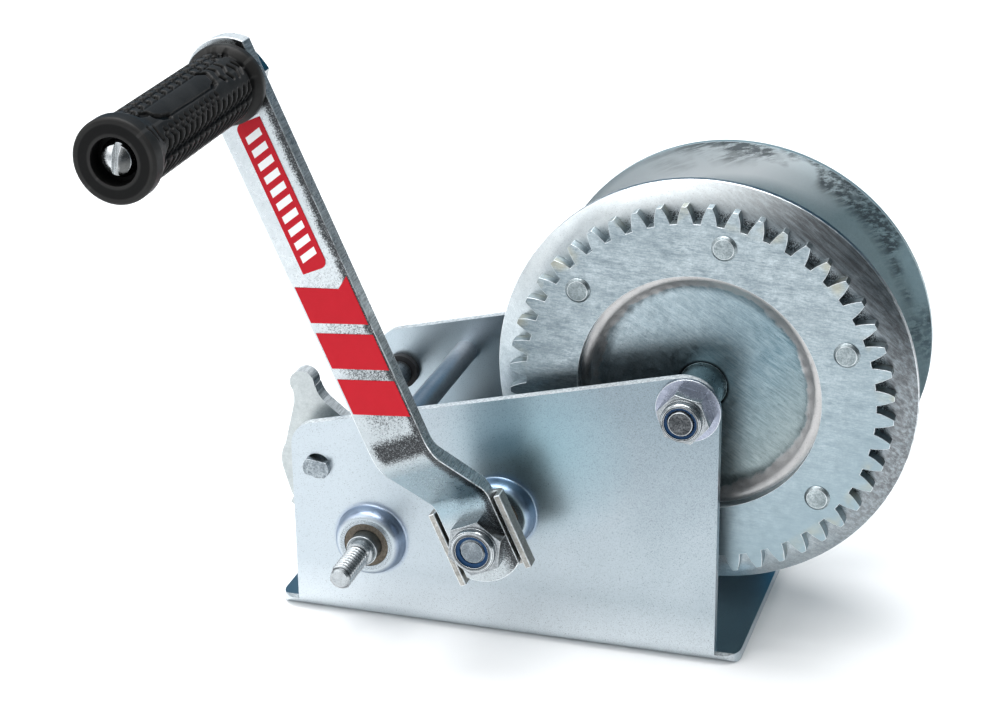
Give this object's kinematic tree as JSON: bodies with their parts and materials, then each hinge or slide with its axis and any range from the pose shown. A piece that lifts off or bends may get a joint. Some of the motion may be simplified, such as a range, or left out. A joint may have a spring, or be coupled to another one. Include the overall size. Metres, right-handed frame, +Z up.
{
  "type": "hand winch",
  "caption": "Two-speed geared hand winch for a boat trailer: folded channel frame, flanged rope drum with ring gear, crank with turning grip, ratchet and pawl.",
  "frame": {"origin": "centre of the base plate's underside", "axes": "+Z up from the base, drum and shafts along Y with the crank side at -Y, +X towards the drum end"},
  "size_m": [0.2415, 0.2559, 0.2435],
  "materials": {
    "zinc_sheet": "bright blue zinc plating on pressed sheet",
    "zinc_gear": "zinc plated, punched edges",
    "zinc_bar": "zinc plated turned bar",
    "zinc_nut": "bright zinc hardware",
    "steel_dark": "greased machined steel",
    "bronze": "sintered bronze, dull",
    "nylon_blue": "blue nylon",
    "grip_rubber": "moulded black rubber",
    "black_plastic": "black plastic",
    "red_film": "red printed film"
  },
  "bodies": {
    "frame": {"frame": "zinc_sheet", "bush_a_near": "bronze", "bush_b_near": "bronze", "bush_a_far": "bronze", "bush_b_far": "bronze", "tie_rod": "zinc_bar", "drum_bolt": "zinc_nut", "bolt_washers": "zinc_nut", "drum_nut": "zinc_nut", "drum_nut_insert": "nylon_blue", "drum_spacer": "zinc_bar", "pawl_bush": "black_plastic", "pawl_spring": "steel_dark"},
    "drum": {"flange_near": "zinc_sheet", "flange_far": "zinc_sheet", "drum_hub": "zinc_sheet", "ring_gear": "zinc_gear", "drum_rivets": "zinc_bar", "rope_clamp": "zinc_gear", "rope_clamp_bolts": "zinc_nut"},
    "upper_shaft": {"shaft_a": "steel_dark", "retainers_a": "steel_dark", "pinion_a": "steel_dark", "wheel_a": "zinc_gear", "driver_bracket": "zinc_gear", "crank_arm": "zinc_bar", "crank_nut": "zinc_nut", "crank_nut_insert": "nylon_blue", "arm_label": "red_film", "arm_stripes": "red_film", "grip_bolt": "zinc_nut", "grip_nut": "zinc_nut"},
    "grip": {"grip": "grip_rubber"},
    "lower_shaft": {"shaft_b": "steel_dark", "retainers_b": "steel_dark", "pinion_b": "steel_dark", "ratchet_wheel": "zinc_gear"},
    "pawl": {"pawl_front": "zinc_gear", "pawl_back": "zinc_gear", "pawl_rivet": "zinc_bar", "pawl_pin": "zinc_bar"}
  },
  "joints": [
    {"name": "drum_spin", "type": "hinge", "parent": "frame", "child": "drum", "pos_m": [0.0713, 0, 0.1028], "axis": [0, 1, 0], "continuous": true},
    {"name": "upper_shaft_spin", "type": "hinge", "parent": "frame", "child": "upper_shaft", "pos_m": [0.0003, 0, 0.053], "axis": [0, 1, 0], "continuous": true},
    {"name": "lower_shaft_spin", "type": "hinge", "parent": "frame", "child": "lower_shaft", "pos_m": [-0.0513, 0, 0.0349], "axis": [0, 1, 0], "continuous": true},
    {"name": "grip_spin", "type": "hinge", "parent": "upper_shaft", "child": "grip", "pos_m": [-0.07578, -0.15, 0.22798], "axis": [0, 1, 0], "continuous": true},
    {"name": "pawl_pivot", "type": "hinge", "parent": "frame", "child": "pawl", "pos_m": [-0.0721, 0, 0.0625], "axis": [0, 1, 0], "range_deg": [-9, 14]}
  ],
  "couplings": [
    {"joint": "upper_shaft_spin", "follows": "drum_spin", "ratio": -4},
    {"joint": "lower_shaft_spin", "follows": "drum_spin", "ratio": 8}
  ]
}
